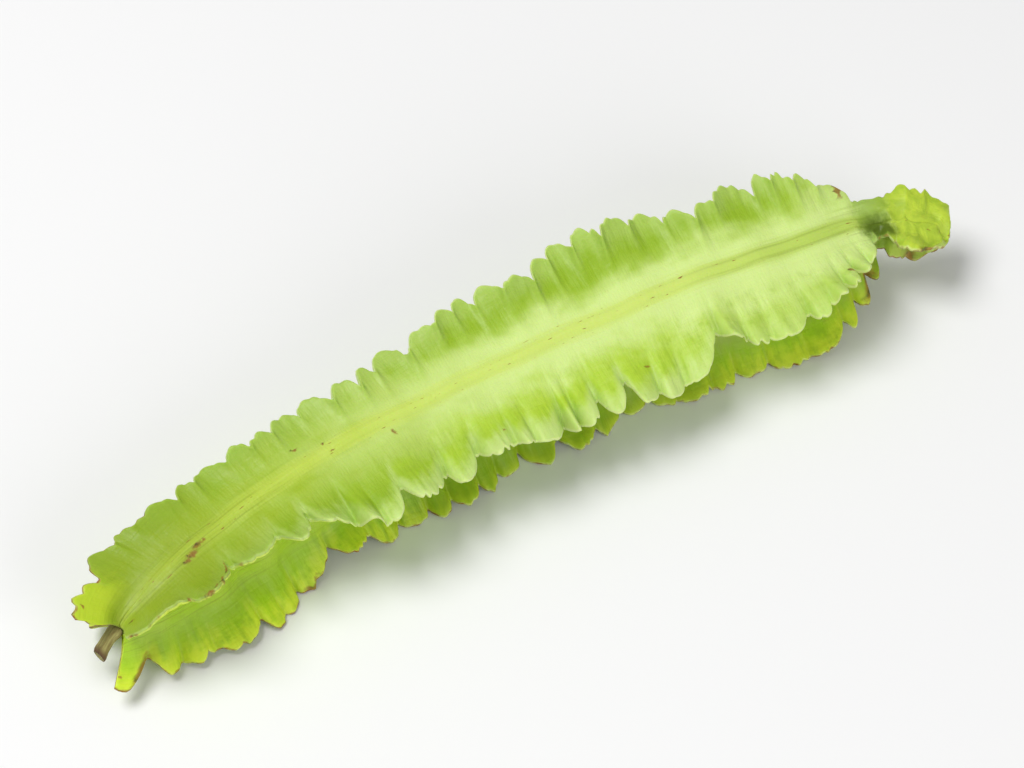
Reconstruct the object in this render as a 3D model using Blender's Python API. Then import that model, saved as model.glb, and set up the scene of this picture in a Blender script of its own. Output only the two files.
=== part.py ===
"""A winged bean: one green pod as picked, lying on a level surface on its two lower wings.

The pod is swept along a gently bent axis, from the stalk end (-X) to the hooked beak (+X).
Each cross-section is a square body with a wing at every corner. The wings' edges are cut into lobes.
Tables give millimetres and degrees against the distance along the axis. The mesh is in metres.
"""

import math
from dataclasses import dataclass

import bpy
import numpy as np

MM = 0.001

# Driving dimensions of the pod, in millimetres
LENGTH = 163.0
LOBE = 5.0
WIDEST_LOBE = 10.5
STATION_SPACING = 1.18
WING_LEVELS = (0.24, 0.48, 0.76, 1.0)
ROOT_THICKNESS = 2.0
EDGE_THICKNESS = 0.9
FILLET = 1.1
BEND_START = 1.3
END_RADIUS = 1.9
EDGE_TRIMS = 4
FLAT_WITHIN = 0.02

# The axis: its direction seen from above and its slope, in degrees, and the height where it starts
HEADING = (
    (0, 15), (24, 12), (41, 8), (52, 4), (66, 0.5), (92, -1), (115, -4.5), (142, -7), (148, -15),
    (154, -34), (163, -46),
)
SLOPE = (
    (0, 8), (10, 3.5), (30, 2.2), (50, 1.2), (66, 0), (110, 0), (140, 1), (148, 4), (155, -8), (163, -30),
)
ROLL = ((0, 4), (40, 2), (90, 0), (140, 0), (163, -6))
START_HEIGHT = 8.2

# Distance from the axis to the middle of each face of the body
TOP_FACE = (
    (0, 1.5), (4, 2.8), (14, 4.6), (40, 5.4), (110, 5.6), (134, 4.8), (144, 3.2), (149, 1.9), (159, 1.6),
    (163, 0.5),
)
SIDE_FACE = (
    (0, 1.6), (4, 3.2), (14, 5.4), (40, 6.4), (110, 6.6), (134, 5.6), (144, 3.6), (149, 2.0), (159, 1.6),
    (163, 0.5),
)
BOTTOM_FACE = (
    (0, 1.5), (4, 2.8), (14, 4.8), (40, 5.6), (110, 5.8), (134, 4.8), (144, 3.2), (149, 1.9), (159, 1.6),
    (163, 0.5),
)

# The raised seam along the middle of the top and bottom faces
SEAM_RISE = 0.45
SEAM_HALF_WIDTH = 0.8

# The swellings that the seeds make in the two side faces
SEED_SPACING = 10.5
SEED_SWELL = 0.8
SEED_START, SEED_END = 20.0, 136.0


@dataclass
class Wing:
    """One wing. The tables give its angle from straight up, the reach of its lobes' tips, how far it curls,
    how far its edge leans along the axis, and the usual depth of a cut between two lobes.
    """

    name: str
    angle: tuple
    reach: tuple
    curl: tuple
    lean: tuple
    depth: tuple
    # Where the edge is cut in, and how deep. Longer stretches between two of these get cuts by a rule.
    cuts: tuple
    # Where a lobe's tip lies between its two cuts, and how full its outline is
    tip_share: float
    roundness: float
    flute: float
    ruffle: float
    ruffle_length: float
    seed: int


FRONT_TOP = Wing(
    name="front_top",
    angle=((0, -54), (16, -60), (36, -66), (60, -74), (100, -76), (138, -74), (149, -66), (163, -60)),
    reach=(
        (0, 1.9), (1.5, 6), (4, 9), (9, 12), (12.8, 16), (17, 13), (21.5, 11.4), (25, 12.2), (30, 15),
        (36, 15),
        (40, 16.2), (46, 19.8), (54, 19.2), (66, 17.8), (74, 17.8), (84, 19), (90, 18.8), (96, 19.6),
        (104, 19.2), (110, 18.4),
        (114.5, 14.6), (120, 17), (125, 17.4), (131, 17), (138, 15), (143, 11), (147, 6.4),
        (150, 4.2), (155, 7.4), (159, 7.2), (162, 3.4), (163, 0.9),
    ),
    curl=((0, 8), (26, 4), (44, -18), (80, -26), (125, -22), (145, -12), (163, -20)),
    lean=(
        (0, -3), (3, -4), (10, -2), (24, -0.6), (44, -1.8), (110, -1.8), (130, -0.4), (146, 1.5), (150, 0),
        (163, 0),
    ),
    depth=((0, 0.2), (20, 0.4), (34, 0.8), (42, 2.6), (90, 2.8), (122, 2), (140, 1), (150, 0.4), (163, 0.1)),
    cuts=(
        (4.5, 1), (11.2, 2.6), (19.5, 2.8), (28.4, 3.6), (34.8, 4.2), (41.7, 2), (45.7, 1), (51.1, 3.8),
        (60.5, 3.4),
        (67.2, 3.6), (73.6, 1.5), (76.8, 1), (83.2, 3.2), (85.4, 2.4), (89.8, 3.8), (95, 4.4), (100.9, 1.6),
        (106.2, 1.1), (115, 1.9), (119, 1), (123.3, 0.7), (130.4, 2.2), (134.4, 0.9), (137.8, 2.6),
        (140.7, 3),
        (143.6, 1), (147.4, 0.6),
    ),
    tip_share=0.36,
    roundness=2.6,
    flute=0.7,
    ruffle=0.6,
    ruffle_length=21.0,
    seed=11,
)
REAR_TOP = Wing(
    name="rear_top",
    angle=((0, -4), (3, 32), (11, 54), (40, 50), (100, 48), (140, 52), (150, 58), (163, 66)),
    reach=(
        (0, 1.9), (0.8, 5.6), (2, 8.6), (5, 11), (9, 11.8), (20, 11.6), (50, 11.4), (62, 12.4), (70, 14),
        (76, 15),
        (81, 15.6), (87, 15), (92, 16), (99, 17.6), (106, 17.4), (113, 15.6), (120, 14.2), (127, 15.6),
        (133, 15.4),
        (137, 14.6), (143, 10.8), (147, 7.2), (150, 4.6), (155, 7.8), (159, 7.8), (162, 4), (163, 0.9),
    ),
    curl=((0, 20), (30, 8), (90, 4), (130, 10), (163, 26)),
    lean=((0, -7.5), (3, -6), (8, -4), (22, 0), (124, 0), (140, 0), (147, 1), (150, 0), (163, 0)),
    depth=((0, 0.4), (8, 1.0), (40, 1.5), (90, 1.8), (128, 1.8), (142, 1), (150, 0.4), (163, 0.1)),
    cuts=(
        (5.2, 2.4), (74.8, 1), (78.9, 2), (83.9, 1.2), (89.5, 2), (93.6, 1.2), (98.1, 1.8), (103, 1.2),
        (108.6, 1.4),
        (114.5, 1.2), (119.5, 1.8), (123.6, 1), (131.5, 2.5), (134.7, 1.4), (138.4, 1.6), (142.2, 1.3),
        (147, 1.6),
    ),
    tip_share=0.45,
    roundness=1.5,
    flute=0.6,
    ruffle=0.7,
    ruffle_length=17.0,
    seed=23,
)
REAR_BOTTOM = Wing(
    name="rear_bottom",
    angle=((0, 122), (30, 130), (80, 134), (140, 130), (163, 126)),
    reach=(
        (0, 1.9), (1.5, 6), (4, 9.6), (10, 12.8), (24, 15.8), (60, 18), (100, 18.6), (122, 18), (138, 14),
        (144, 9.6),
        (149, 4.2), (151, 4), (156, 5), (160, 4.2), (162, 2.4), (163, 0.9),
    ),
    curl=((0, -8), (40, -14), (90, -18), (130, -12), (163, 0)),
    lean=((0, -3), (3, -4), (10, -2), (24, 0), (124, 0), (140, 1), (146, 2), (150, 0), (163, 0)),
    depth=((0, 0.3), (12, 1.2), (60, 1.7), (120, 1.6), (142, 0.7), (150, 0.3), (163, 0.1)),
    cuts=(),
    tip_share=0.5,
    roundness=2.0,
    flute=0.5,
    ruffle=0.7,
    ruffle_length=19.0,
    seed=37,
)
FRONT_BOTTOM = Wing(
    name="front_bottom",
    angle=((0, 234), (22, 230), (40, 228), (60, 226), (100, 224), (140, 230), (163, 232)),
    reach=(
        (0, 1.9), (0.8, 6.4), (2.4, 9.4), (4.2, 9.6), (6, 11.6), (10, 13.4), (20, 16.8), (29.5, 18),
        (33, 14.6), (42, 14.6),
        (51, 16.8), (64, 17.2), (100, 17.2), (124, 17.8), (130, 18.4), (136, 17.4), (143, 12.8), (147, 8),
        (150, 4.4),
        (155, 5.6), (159, 5), (162, 2.6), (163, 0.9),
    ),
    curl=((0, 4), (30, 6), (60, 14), (100, 18), (130, 14), (163, 0)),
    lean=((0, -9), (2, -8), (5, -4), (10, -3), (24, 0), (124, 0), (138, 1), (146, 1.5), (150, 0), (163, 0)),
    depth=(
        (0, 1.6), (6, 2.4), (12, 1.4), (60, 1.6), (100, 1.5), (124, 0.8), (142, 0.9), (150, 0.3), (163, 0.1),
    ),
    cuts=(
        (2.6, 3.4), (6, 1.8), (12.8, 0.9), (20.2, 2.2), (24.2, 1), (28.6, 1.6), (37.3, 2.6), (44.8, 1.3),
        (51.1, 1.5),
        (57.3, 1.8), (61.6, 1.6), (67.2, 1.7), (71.4, 2), (76.4, 3), (83.4, 2.6), (90.3, 1.8), (96, 1.4),
        (101.5, 0.8),
        (106, 0.8), (113, 0.6), (118, 0.9), (124, 0.9), (130.8, 0.7), (138.2, 2), (141.5, 2.4), (145, 2),
    ),
    tip_share=0.45,
    roundness=1.5,
    flute=0.5,
    ruffle=0.8,
    ruffle_length=23.0,
    seed=53,
)
# Round the section from the front over the top, so that each wing's angle is larger than the last one's
WINGS = (FRONT_TOP, REAR_TOP, REAR_BOTTOM, FRONT_BOTTOM)
FACES_AFTER = (TOP_FACE, SIDE_FACE, BOTTOM_FACE, SIDE_FACE)

# What is left of the stalk: it tapers away from the pod to a cut end
STALK_LENGTH = 5.0
STALK_RADII = ((0.05, 1.1), (0.7, 1.3), (2.0, 1.15), (3.4, 1.2), (4.4, 1.35), (4.8, 1.1))
STALK_SIDES = 12
STALK_DROOP = 3.0

GREEN = (0.42, 0.62, 0.12, 1.0)
DRY = (0.42, 0.36, 0.16, 1.0)


def along(x, points):
    """A smooth value for each x from a few (distance, value) points, which never overshoots them."""
    xs, ys = np.array(points, float).T
    secant = np.diff(ys) / np.diff(xs)
    product = secant[1:] * secant[:-1]
    total = np.where(product > 0, secant[1:] + secant[:-1], 1.0)
    slopes = np.concatenate([secant[:1], np.where(product > 0, 2 * product / total, 0.0), secant[-1:]])
    x = np.clip(x, xs[0], xs[-1])
    i = np.clip(np.searchsorted(xs, x, side="right") - 1, 0, len(xs) - 2)
    h = xs[i + 1] - xs[i]
    t = (x - xs[i]) / h
    start = (1 + 2 * t) * (1 - t) ** 2 * ys[i] + t * (1 - t) ** 2 * h * slopes[i]
    end = t * t * (3 - 2 * t) * ys[i + 1] + t * t * (t - 1) * h * slopes[i + 1]
    return start + end


def axis_frames(x):
    """Each station's point on the axis, with the unit vectors along it, up and to the rear."""
    steps = np.linspace(0, LENGTH, 1361)
    heading, slope = np.radians(along(steps, HEADING)), np.radians(along(steps, SLOPE))
    tangent = np.stack(
        [np.cos(slope) * np.cos(heading), np.cos(slope) * np.sin(heading), np.sin(slope)], axis=1
    )
    middles = (tangent[1:] + tangent[:-1]) / 2 * (steps[1] - steps[0])
    path = np.vstack([[0, 0, START_HEIGHT], [0, 0, START_HEIGHT] + np.cumsum(middles, axis=0)])
    centre = np.stack([np.interp(x, steps, path[:, k]) for k in range(3)], axis=1)
    heading, slope = np.radians(along(x, HEADING)), np.radians(along(x, SLOPE))
    forward = np.stack(
        [np.cos(slope) * np.cos(heading), np.cos(slope) * np.sin(heading), np.sin(slope)], axis=1
    )
    rear = np.stack([-np.sin(heading), np.cos(heading), np.zeros_like(x)], axis=1)
    return centre, forward, np.cross(forward, rear), rear


def seed_swell(x):
    """How far the side faces stand out over each seed."""
    inside = along(x, ((SEED_START - 8, 0), (SEED_START, 1), (SEED_END - 12, 1), (SEED_END, 0)))
    return SEED_SWELL * inside * (1 - np.cos(2 * math.pi * x / SEED_SPACING)) / 2


def wing_cuts(wing):
    """Where the wing's edge is cut in and how deep: the given cuts, with seeded ones in wide gaps."""
    draw = np.random.default_rng(wing.seed)
    given = [(0.0, 0.1), *wing.cuts, (LENGTH, 0.1)]
    cuts = []
    for (start, depth), (end, _) in zip(given, given[1:]):
        cuts.append((start, depth))
        count = round((end - start) / LOBE) if end - start > WIDEST_LOBE else 1
        for i in range(1, count):
            place = start + (end - start) * (i + draw.uniform(-0.24, 0.24)) / count
            cuts.append((place, float(along(place, wing.depth)) * draw.uniform(0.45, 1.25)))
    return np.array([*cuts, given[-1]]).T


def lobes(wing, x):
    """For each station: the cut into the edge, and how far the lobe arches out of the wing's surface."""
    place, depth = wing_cuts(wing)
    draw = np.random.default_rng(wing.seed + 1)
    rise, arch = draw.uniform(-0.15, 0.15, len(place)), draw.uniform(0.4, 1.4, len(place))
    k = np.clip(np.searchsorted(place, x, side="right") - 1, 0, len(place) - 2)
    share = (x - place[k]) / (place[k + 1] - place[k])
    tip = wing.tip_share
    from_tip = np.where(share < tip, 1 - share / tip, (share - tip) / (1 - tip))
    usual = along(x, wing.depth)
    cut = np.where(share < tip, depth[k], depth[k + 1]) * from_tip**wing.roundness
    drop = cut - usual * rise[k] * (1 - from_tip**2)
    return drop, wing.flute * usual * (arch[k] * (1 - from_tip**2) - 0.5)


def half_thickness(distance, reach, face, half_angle):
    """From the wing's middle surface to its skin: the flat body face, filleted into the wing."""
    level = np.clip(distance / reach, 0, 1)
    thin = np.minimum((ROOT_THICKNESS * (1 - level) + EDGE_THICKNESS * level) / 2, 0.45 * face + 0.2)
    flat = face * np.sin(half_angle) - (distance - face * np.cos(half_angle)) / np.tan(half_angle)
    blend = FILLET * np.minimum(1, face / 4)
    return (flat + thin + np.sqrt((flat - thin) ** 2 + blend**2)) / 2


def wing_sides(wing, x, levels, angle, before, after, lift, forward):
    """Points of the wing's two sides, as arrays of (up, rear, along) for each station and level.

    Where an edge would pass through the surface at height 0, the wing is shortened until it stands on it.
    """
    drop, bulge = lobes(wing, x)
    reach = along(x, wing.reach)
    curl = np.radians(along(x, wing.curl))
    ruffle = wing.ruffle * np.sin(2 * math.pi * x / wing.ruffle_length + wing.seed) * along(x, wing.depth)
    for _ in range(EDGE_TRIMS):
        sides = []
        edge = reach - drop
        fade = np.clip(edge / 10, 0, 1)
        lean = along(x, wing.lean) * np.clip((edge - END_RADIUS) / 5, 0, 1)
        bend_from = BEND_START * np.maximum(before[0], after[0])
        for sign, (face, half_angle) in ((-1, before), (1, after)):
            side = []
            for level in levels:
                distance = reach * level - drop * level**3 + face * np.cos(half_angle) * (1 - level) ** 2
                bent = np.maximum(distance - bend_from, 0)
                turn = curl * bent / np.maximum(reach - bend_from, 1)
                straight = np.minimum(distance, bend_from)
                wave = (bulge * level + ruffle) * level**2 * fade
                skin = sign * half_thickness(distance, edge, face, half_angle) + wave
                bow, tilt = angle + turn / 2, angle + turn
                up = straight * np.cos(angle) + bent * np.cos(bow) - skin * np.sin(tilt)
                rear = straight * np.sin(angle) + bent * np.sin(bow) + skin * np.cos(tilt)
                side.append(np.stack([up, rear, lean * (distance / reach) ** 1.5], axis=1))
            sides.append(side)
        heights = [lift[0] + side[-1][:, 0] * lift[1] + side[-1][:, 2] * forward[:, 2] for side in sides]
        reach = reach - np.maximum(-np.maximum(*heights), 0) / np.maximum(-np.cos(angle + curl), 0.3)
    return sides


def face_points(face, direction, has_seam):
    """The points along the middle of a body face: one, or three where the face has a raised seam."""
    across = np.stack([-np.sin(direction), np.cos(direction), 0 * direction], axis=1)
    outward = np.stack([np.cos(direction), np.sin(direction), 0 * direction], axis=1)
    seam = np.minimum(1, face / 4)[:, None]
    line = face[:, None] * outward
    if not has_seam:
        return [line]
    beside = SEAM_HALF_WIDTH * seam * across
    return [line - beside, line + SEAM_RISE * seam * outward, line + beside]


def pod_rings(x, levels):
    """The pod's skin as an array of stations, points round each, and coordinates."""
    centre, forward, upward, rearward = axis_frames(x)
    roll = np.radians(along(x, ROLL))
    angles = [np.radians(along(x, wing.angle)) + roll for wing in WINGS]
    swell = seed_swell(x)
    faces = [along(x, face) + (swell if face is SIDE_FACE else 0) for face in FACES_AFTER]
    ring, edges = [], []
    for k, wing in enumerate(WINGS):
        last = angles[k - 1] - (2 * math.pi if k == 0 else 0)
        following = angles[(k + 1) % 4] + (2 * math.pi if k == 3 else 0)
        before = (faces[k - 1], (angles[k] - last) / 2)
        after = (faces[k], (following - angles[k]) / 2)
        lift = (centre[:, 2], upward[:, 2])
        rising, falling = wing_sides(wing, x, levels, angles[k], before, after, lift, forward)
        edge = len(ring) + len(levels)
        edges += [(edge - 1, edge - 2), (edge, edge + 1)]
        middle = (angles[k] + following) / 2
        ring += rising + falling[::-1] + face_points(faces[k], middle, FACES_AFTER[k] is not SIDE_FACE)
    section = np.stack(ring, axis=1)
    points = centre[:, None] + (
        section[..., 0:1] * upward[:, None]
        + section[..., 1:2] * rearward[:, None]
        + section[..., 2:3] * forward[:, None]
    )
    return stand_on_edges(points, edges)


def stand_on_edges(points, edges):
    """Cuts each side back along itself to height 0, which leaves the wing's edge flat on the surface."""
    for tip, inner in edges:
        low, high = points[:, tip, 2], points[:, inner, 2]
        share = np.where(low < 0, high / np.maximum(high - low, 0.01), 1)[:, None]
        points[:, tip] = points[:, inner] + (points[:, tip] - points[:, inner]) * share
    points[..., 2] = np.where(points[..., 2] < FLAT_WITHIN, 0, points[..., 2])
    return points


def skin_triangles(stations, around, mirrored):
    """Triangles between neighbouring rings, with the diagonal turned over in the mirrored columns."""
    faces = []
    for i in range(stations - 1):
        for j in range(around):
            a, b = i * around + j, i * around + (j + 1) % around
            c, d = a + around, b + around
            faces += [(a, c, b), (b, c, d)] if j in mirrored else [(a, c, d), (a, d, b)]
    return faces


def falling_columns():
    """The columns of the ring where the skin runs back from a wing's edge to the body."""
    levels, columns, start = len(WING_LEVELS), set(), 0
    for k in range(4):
        columns |= set(range(start + levels, start + 2 * levels))
        start += 2 * levels + (1 if FACES_AFTER[k] is SIDE_FACE else 3)
    return columns


def cap_triangles(first, around, middle, outward):
    """A fan that closes the ring starting at vertex first."""
    pairs = [(first + j, first + (j + 1) % around) for j in range(around)]
    return [(middle, b, a) if outward else (middle, a, b) for a, b in pairs]


def closed_mesh(name, rings, mirrored=()):
    """A closed mesh in metres, lofted through rings given in millimetres."""
    stations, around, _ = rings.shape
    points = list(rings.reshape(-1, 3)) + [rings[0].mean(axis=0), rings[-1].mean(axis=0)]
    faces = skin_triangles(stations, around, mirrored)
    faces += cap_triangles(0, around, stations * around, False)
    faces += cap_triangles((stations - 1) * around, around, stations * around + 1, True)
    mesh = bpy.data.meshes.new(name)
    mesh.from_pydata([tuple(p * MM) for p in points], [], faces)
    mesh.validate()
    mesh.shade_smooth()
    return mesh


def plain_material(name, colour, roughness):
    material = bpy.data.materials.new(name)
    material.use_nodes = True
    shader = material.node_tree.nodes["Principled BSDF"]
    shader.inputs["Base Color"].default_value = colour
    shader.inputs["Roughness"].default_value = roughness
    shader.inputs["Metallic"].default_value = 0.0
    return material


def add_object(name, mesh, material):
    mesh.materials.append(material)
    made = bpy.data.objects.new(name, mesh)
    bpy.context.scene.collection.objects.link(made)
    return made


def clear_scene():
    for old in list(bpy.data.objects):
        bpy.data.objects.remove(old, do_unlink=True)


def stalk_rings():
    """The stalk's skin in the pod's own millimetres, running from its cut end to the pod."""
    centre, forward, upward, rearward = (v[0] for v in axis_frames(np.zeros(1)))
    turn = np.linspace(0, 2 * math.pi, STALK_SIDES, endpoint=False)[:, None]
    circle = np.cos(turn) * upward + np.sin(turn) * rearward
    rings = []
    for distance, radius in reversed(STALK_RADII):
        middle = centre - distance * forward - STALK_DROOP * (distance / STALK_LENGTH) ** 2 * upward
        rings.append(middle + radius * circle)
    return np.array(rings)


def stations():
    """Distances along the axis: one at each cut of the wing that shows best, and even steps between."""
    place, _ = wing_cuts(FRONT_TOP)
    runs = [
        np.linspace(start, end, max(1, round((end - start) / STATION_SPACING)), endpoint=False)
        for start, end in zip(place, place[1:])
    ]
    return np.concatenate([*runs, [LENGTH]])


def main():
    clear_scene()
    rings = pod_rings(stations(), WING_LEVELS)
    stalk = stalk_rings()
    points = np.concatenate([rings.reshape(-1, 3), stalk.reshape(-1, 3)])
    middle = (points.min(axis=0) + points.max(axis=0)) / 2 * (1, 1, 0)
    pod = closed_mesh("pod", rings - middle, falling_columns())
    add_object("pod", pod, plain_material("pod_green", GREEN, 0.45))
    add_object("stalk_stub", closed_mesh("stalk_stub", stalk - middle), plain_material("dry_stalk", DRY, 0.7))


main()
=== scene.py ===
"""The look of a winged bean: its pod and stalk as fine meshes, their materials, the light and the camera.

The pod's form follows the solid's own tables: distances along its axis and sizes in millimetres, angles in
degrees. What is placed in the scene is in metres.
"""

import math
from dataclasses import dataclass

import bpy
import numpy as np
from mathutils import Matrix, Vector


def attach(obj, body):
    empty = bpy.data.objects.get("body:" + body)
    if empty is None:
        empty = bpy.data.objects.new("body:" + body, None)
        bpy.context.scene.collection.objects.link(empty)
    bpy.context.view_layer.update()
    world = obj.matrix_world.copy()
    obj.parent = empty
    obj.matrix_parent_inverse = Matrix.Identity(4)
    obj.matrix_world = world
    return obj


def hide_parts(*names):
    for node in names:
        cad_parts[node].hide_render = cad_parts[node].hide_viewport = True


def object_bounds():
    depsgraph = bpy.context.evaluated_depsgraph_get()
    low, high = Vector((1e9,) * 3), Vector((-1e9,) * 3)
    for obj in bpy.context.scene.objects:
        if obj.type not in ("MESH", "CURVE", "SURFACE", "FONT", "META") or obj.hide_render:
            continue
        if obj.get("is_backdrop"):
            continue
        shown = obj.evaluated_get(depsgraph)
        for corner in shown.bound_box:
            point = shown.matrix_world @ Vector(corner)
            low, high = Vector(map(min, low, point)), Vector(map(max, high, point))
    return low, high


MM = 0.001

# How far apart in texture space two faces, or two wings, are
LAYER = 40.0

# The distance from the wing's edge that is given to the middle of a face
FAR_FROM_EDGE = 20.0

# The pod's length along its axis, and how finely the axis and the mesh are divided
LENGTH = 163.0
AXIS_STEPS = 1361
STATIONS = 740

# How far round a cut the stations stand closer and how much closer, and which cuts count in full
CUT_WIDTH = 0.7
CROWDING = 1.5
DEEP_CUT = 3.0

# The columns from a wing's root to its edge, as shares of its reach, then round its rim, in degrees, and
# how far the rim is rounded
INNER_LEVELS = (0.02, 0.045, 0.075, 0.12, 0.2, 0.3, 0.42, 0.54, 0.66, 0.77, 0.87, 0.95, 1.0)
RIM_TURNS = (30, 60, 84)
RIM = 0.3

# The lobes: the usual length of the seeded ones and the longest stretch left without a cut
LOBE = 5.0
WIDEST_LOBE = 10.5

# The notches between them: how much deeper than in the tables, and the creases that run on from them
NOTCH_DEPTH = 1.3
CREASE_WIDTH = 0.55
CREASE_DEPTH = 0.5

# The wings' thickness at root and edge, and the fillet between them and the body's faces
ROOT_THICKNESS = 2.0
EDGE_THICKNESS = 0.62
FILLET = 1.1

# Where the curl starts, in times the face's distance from the axis, and the reach at the pod's two ends
BEND_START = 1.3
END_RADIUS = 1.9

# Narrower than this, a wing's lean, its waves and its teeth fade out
LEAN_FADE = 5.0
WAVE_FADE = 10.0
TEETH_FADE = 8.0

# How often an edge that would pass through the surface is trimmed
EDGE_TRIMS = 4

# Where the frame's origin lies in the pod's own millimetres
ORIGIN = np.array((77.698, 7.626, 0.0))

# The axis: its direction seen from above and its slope, in degrees, and the height where it starts
HEADING = (
    (0, 15), (24, 12), (41, 8), (52, 4), (66, 0.5), (92, -1), (115, -4.5), (142, -7), (148, -15),
    (154, -34), (163, -46),
)
SLOPE = (
    (0, 8), (10, 3.5), (30, 2.2), (50, 1.2), (66, 0), (110, 0), (140, 1), (148, 4), (155, -8), (163, -30),
)
ROLL = ((0, 4), (40, 2), (90, 0), (140, 0), (163, -6))
START_HEIGHT = 8.2

# Distance from the axis to the middle of each face of the body
TOP_FACE = (
    (0, 1.5), (4, 2.8), (14, 4.6), (40, 5.4), (110, 5.6), (134, 4.8), (144, 3.2), (149, 1.9), (159, 1.6),
    (163, 0.5),
)
SIDE_FACE = (
    (0, 1.6), (4, 3.2), (14, 5.4), (40, 6.4), (110, 6.6), (134, 5.6), (144, 3.6), (149, 2.0), (159, 1.6),
    (163, 0.5),
)
BOTTOM_FACE = (
    (0, 1.5), (4, 2.8), (14, 4.8), (40, 5.6), (110, 5.8), (134, 4.8), (144, 3.2), (149, 1.9), (159, 1.6),
    (163, 0.5),
)

# The raised seam along the middle of the top and bottom faces, with a shallow groove on each side
SEAM_RISE = 0.32
SEAM_WIDTH = 0.75
GROOVE_DEPTH = 0.1
GROOVE_PLACE = 1.7
GROOVE_WIDTH = 0.6
SEAM_FADE = ((0, 1), (146, 1), (150, 0), (163, 0))

# How far the seams stray from the middle of their faces, and how uneven the faces are
SEAM_WANDER = 0.4
SEAM_WANDER_LENGTH = 9.0
SEAM_SEED = 95
DENT = 0.28
DENT_LENGTH = 5.5
DENT_FADE = ((0, 0), (14, 1), (140, 1), (149, 0))
DENT_SEED = 91

# The swellings that the seeds make in the two side faces
SEED_SPACING = 10.5
SEED_SWELL = 0.8
SEED_START, SEED_END = 20.0, 136.0


@dataclass
class Wing:
    """One wing. The tables give its angle from straight up, the reach of its lobes' tips, how far it curls,
    how far its edge leans along the axis, and the usual depth of a cut between two lobes.
    """

    angle: tuple
    reach: tuple
    curl: tuple
    lean: tuple
    depth: tuple
    cuts: tuple
    # Where a lobe's tip lies between its two cuts, how blunt the lobes are and how far they arch, and the
    # wing's long waves
    tip_share: float
    roundness: float
    flute: float
    ruffle: float
    ruffle_length: float
    seed: int
    # Fine relief: how much of its width a cut keeps at its bottom, how tongue-like the lobes are and how far
    # they spread over the cuts, how far single lobes tip up or down, the pleats across the wing, and the
    # edge's small teeth
    gap: float
    tongue: float
    spread: float
    flip: float
    pleat: float
    pleat_length: float
    teeth: float
    tooth_length: float
    # How much of the thin rim has dried brown
    dry: tuple


FRONT_TOP = Wing(
    angle=((0, -54), (16, -60), (36, -66), (60, -74), (100, -76), (138, -74), (149, -66), (163, -60)),
    reach=(
        (0, 1.9), (1.5, 6), (4, 9), (9, 12), (12.8, 16), (17, 13), (21.5, 11.4), (25, 12.2), (30, 15),
        (36, 15), (40, 16.2), (46, 19.8), (54, 19.2), (66, 17.8), (74, 17.8), (84, 19), (90, 18.8),
        (96, 19.6), (104, 19.2), (110, 18.4), (114.5, 14.6), (120, 17), (125, 17.4), (131, 17),
        (138, 15), (143, 11), (147, 6.4), (150, 4.2), (155, 7.4), (159, 7.2), (162, 3.4), (163, 0.9),
    ),
    curl=((0, 8), (26, 4), (44, -18), (80, -26), (125, -22), (145, -12), (163, -20)),
    lean=(
        (0, -3), (3, -4), (10, -2), (24, -0.6), (44, -1.8), (110, -1.8), (130, -0.4), (146, 1.5), (150, 0),
        (163, 0),
    ),
    depth=((0, 0.2), (20, 0.4), (34, 0.8), (42, 2.6), (90, 2.8), (122, 2), (140, 1), (150, 0.4), (163, 0.1)),
    cuts=(
        (4.5, 1), (11.2, 2.6), (19.5, 2.8), (28.4, 3.6), (34.8, 4.2), (41.7, 2), (45.7, 1), (51.1, 3.8),
        (60.5, 3.4), (67.2, 3.6), (73.6, 1.5), (76.8, 1), (83.2, 3.2), (85.4, 2.4), (89.8, 3.8),
        (95, 4.4), (100.9, 1.6), (106.2, 1.1), (115, 1.9), (119, 1), (123.3, 0.7), (130.4, 2.2),
        (134.4, 0.9), (137.8, 2.6), (140.7, 3), (143.6, 1), (147.4, 0.6),
    ),
    tip_share=0.36,
    roundness=2.6,
    flute=0.7,
    ruffle=0.6,
    ruffle_length=21.0,
    seed=11,
    gap=0.14,
    tongue=0.35,
    spread=0.02,
    flip=1.9,
    pleat=0.3,
    pleat_length=2.4,
    teeth=1.25,
    tooth_length=1.9,
    dry=((0, 0.45), (20, 0.3), (40, 0), (120, 0), (140, 0.3), (150, 0.5), (163, 0.7)),
)
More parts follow.
